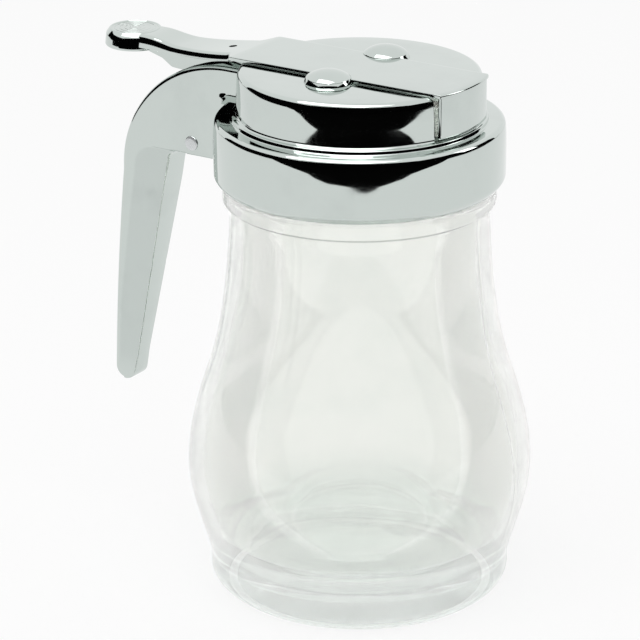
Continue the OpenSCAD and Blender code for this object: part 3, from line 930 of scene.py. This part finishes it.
slide_width = len(across) + 2 * len(edge_turns)
n = len(slide_rows) * slide_width
slide_faces = grid_faces(len(slide_rows), slide_width)
slide_faces += [tuple(n + k for k in face[::-1]) for face in slide_faces]
for i in range(len(slide_rows) - 1):
    for j in (0, slide_width - 1):
        a, b = i * slide_width + j, (i + 1) * slide_width + j
        slide_faces.append((a, b, n + b, n + a))
for j in range(slide_width - 1):
    for i in (0, len(slide_rows) - 1):
        a = i * slide_width + j
        slide_faces.append((a, a + 1, n + a + 1, n + a))
slide = make_piece("thumb_slide_cast", slide_points, slide_faces, None, 50)
HOLE_X, HOLE_R = -34.4, 0.95
hole_points = []
for z in (120.6, 126.0):
    for k in range(32):
        a = 2 * math.pi * k / 32
        hole_points.append((HOLE_X + HOLE_R * math.cos(a), HOLE_R * math.sin(a), z))
hole_faces = grid_faces(2, 32, closed_columns=True) + [tuple(range(32))[::-1], tuple(range(32, 64))]
cut_away(slide, hole_points, hole_faces)
slide.data.set_sharp_from_angle(angle=math.radians(50))


def rounded_slab(outline, half, radius):
    """Points and faces of a slab in X and Z with rounded edges."""
    n = len(outline)
    inwards = []
    for i in range(n):
        before = (Vector(outline[i]) - Vector(outline[i - 1])).normalized()
        after = (Vector(outline[(i + 1) % n]) - Vector(outline[i])).normalized()
        way = before + after
        normal = Vector((-way.y, way.x)).normalized()
        inwards.append(normal / max(0.5, abs(normal.dot(Vector((-before.y, before.x))))))
    layers = []
    for turn in (90, 60, 30, 0):
        t = math.radians(turn)
        layers.append((-half + radius * (1 - math.sin(t)), radius * (1 - math.cos(t))))
    layers += [(-y, inset) for y, inset in reversed(layers)]
    points = []
    for y, inset in layers:
        points += [(p[0] + w.x * inset, y, p[1] + w.y * inset) for p, w in zip(outline, inwards)]
    faces = grid_faces(len(layers), n, closed_columns=True)
    last = (len(layers) - 1) * n
    return points, faces + [tuple(range(n))[::-1], tuple(range(last, last + n))]


rib_line = rounded([
    (-29.0, 123.1), (-29.0, 121.8, 0.4), (-37.5, 119.4, 5), (-41.2, 117.6, 0.8), (-41.2, 113.4, 1.0),
    (-46.2, 113.4, 1.0), (-46.2, 116.2, 0.8), (-50.4, 116.5, 1.2), (-53.0, 118.2, 1.5), (-57, 119.3, 0.4),
    (-57, 122.2, 0.3),
] + [(-x, arm_top(x) - 0.6, 0) for x in (53, 49, 45, 41, 37, 33)])
rib = make_piece("rib", *rounded_slab(rib_line, 1.7, 0.5), None, 45)
notch = [(-44.3, 110), (-43.1, 110), (-43.1, 117.4), (-44.3, 117.4)]
cut_away(rib, *prism(notch, -3, 3))
cut_away(rib, hole_points, hole_faces)
rib.data.set_sharp_from_angle(angle=math.radians(45))

pad_line = close(rounded([
    (0, 119.3), (PAD_R, 119.3, 0.6), (PAD_R - 0.35, 122.4, 1.7), (5.9, PAD_TOP, 0.5), (5.5, PAD_TOP, 0.1),
    (5.35, PAD_TOP - 0.18, 0.1), (0, PAD_TOP - 0.18),
]), 0.5)
pad = make_piece("pad", *turned(pad_line, 96, x=-PAD_X), None, 60)
rings = Recipe("rings_round_a_point", Count=4, First=1.3, Step=1.15, Bead=0.11, Sides=8)
ring_places = rings.node(
    "GeometryNodeMeshLine", inputs={"Count": rings.given("Count"), "Offset": (0.0, 0.0, 0.0)}
)
ring_sizes = rings.node("GeometryNodeInputIndex") * rings.given("Step") + rings.given("First")
one_ring = rings.node("GeometryNodeCurvePrimitiveCircle", inputs={"Resolution": 96, "Radius": 1.0})
placed = rings.node(
    "GeometryNodeInstanceOnPoints", inputs={"Points": ring_places, "Instance": one_ring, "Scale": ring_sizes}
)
ring_lines = rings.node("GeometryNodeRealizeInstances", inputs={"Geometry": placed})
even_lines = rings.node("GeometryNodeSetCurveRadius", inputs={"Curve": ring_lines, "Radius": 1.0})
bead = rings.node(
    "GeometryNodeCurvePrimitiveCircle",
    inputs={"Resolution": rings.given("Sides"), "Radius": rings.given("Bead")},
)
beads = rings.node("GeometryNodeCurveToMesh", inputs={"Curve": even_lines, "Profile Curve": bead})
rings.end(rings.node(
    "GeometryNodeTransform", inputs={"Geometry": beads, "Translation": (-PAD_X / 1000, 0, 0.12329)}
))
pad_rings = rings.make("pad_rings", [(0, 0, 0)], chrome.material)
slide.data.materials.append(chrome.material)
slide = join([slide, rib, pad, pad_rings])
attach(slide, "slide")
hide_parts("thumb_slide")


# Guide rivets: two domed chromed rivets through the drum's top, one on each side of the strip.
# Their heads lap over the strip and hold it down.

head_low, head_r, head_h = 123.95, 5.1, 1.9
rivet_line = [
    (0, 120.6), (2.3, 120.6), (2.6, 120.9), (2.6, 121.4), (1.6, 121.4), (1.6, head_low),
    (head_r - 0.1, head_low),
]
for k in range(1, 33):
    a = math.radians(90 * k / 32)
    rivet_line.append((head_r * math.cos(a), head_low + head_h * math.sin(a) ** 1.5))
for name, node, side in (("rivet_near", "guide_rivet_near", -1), ("rivet_far", "guide_rivet_far", 1)):
    rivet = make_piece(name, *turned(rivet_line, 96, x=RIVET_X, y=side * RIVET_Y), "lid", 35)
    rivet.data.materials.append(chrome.material)
    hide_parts(node)
